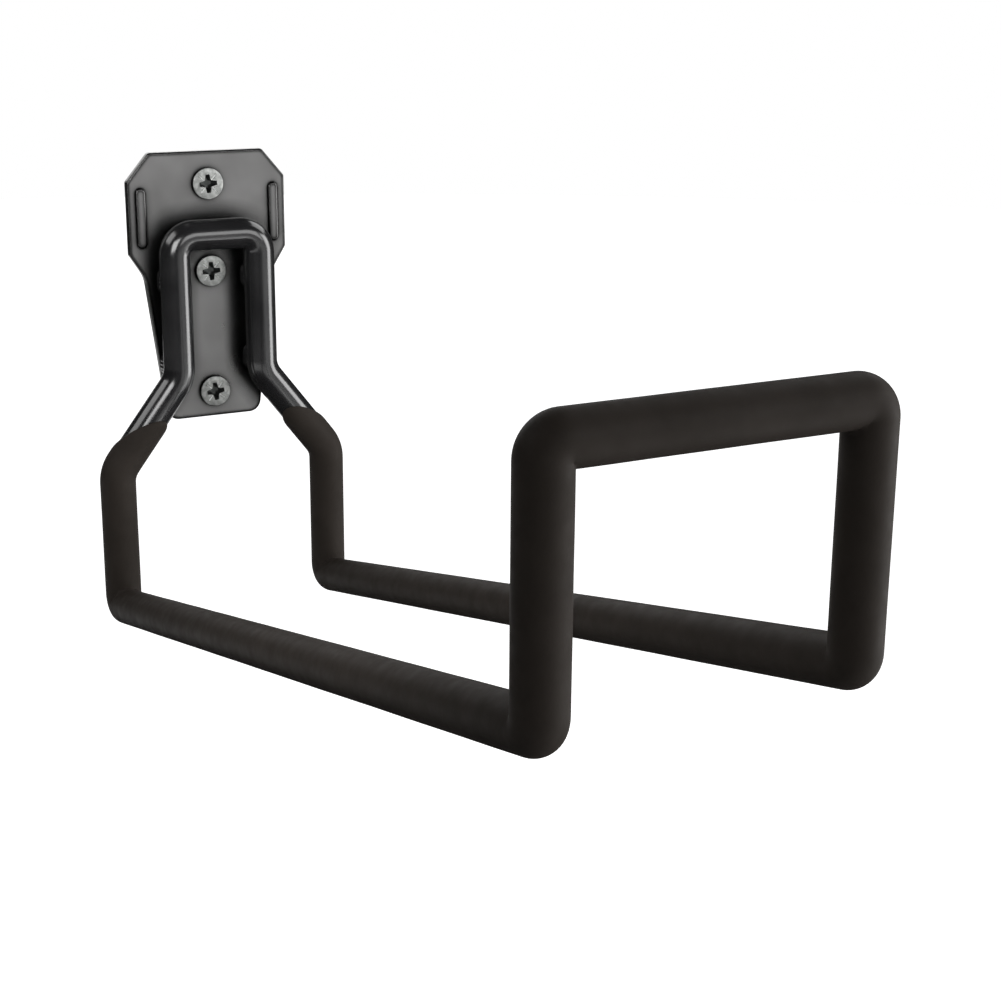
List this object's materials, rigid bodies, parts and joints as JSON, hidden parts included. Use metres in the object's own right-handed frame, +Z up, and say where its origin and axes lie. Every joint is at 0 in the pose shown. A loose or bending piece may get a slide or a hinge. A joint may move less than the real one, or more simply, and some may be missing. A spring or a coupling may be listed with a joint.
{
  "type": "hose hanger",
  "caption": "Wall-mounted hose hanger: a bent steel tube loop with a soft black sleeve, welded to a pressed back plate that is held by countersunk screws.",
  "frame": {"origin": "on the plate's back face, on the middle plane, midway between the top and the bottom screw", "axes": "+X to the right when facing the wall, +Y into the wall, +Z up; the arms reach out along -Y"},
  "size_m": [0.093, 0.3674, 0.1676],
  "materials": {
    "black_coat": "semi-gloss black powder coat",
    "sleeve": "matte black soft PVC",
    "zinc": "bright zinc plate"
  },
  "bodies": {
    "root": {"back_plate": "black_coat", "hook_frame": "black_coat", "frame_welds": "black_coat", "grip_sleeve": "sleeve", "wall_screws": "zinc"}
  },
  "joints": []
}
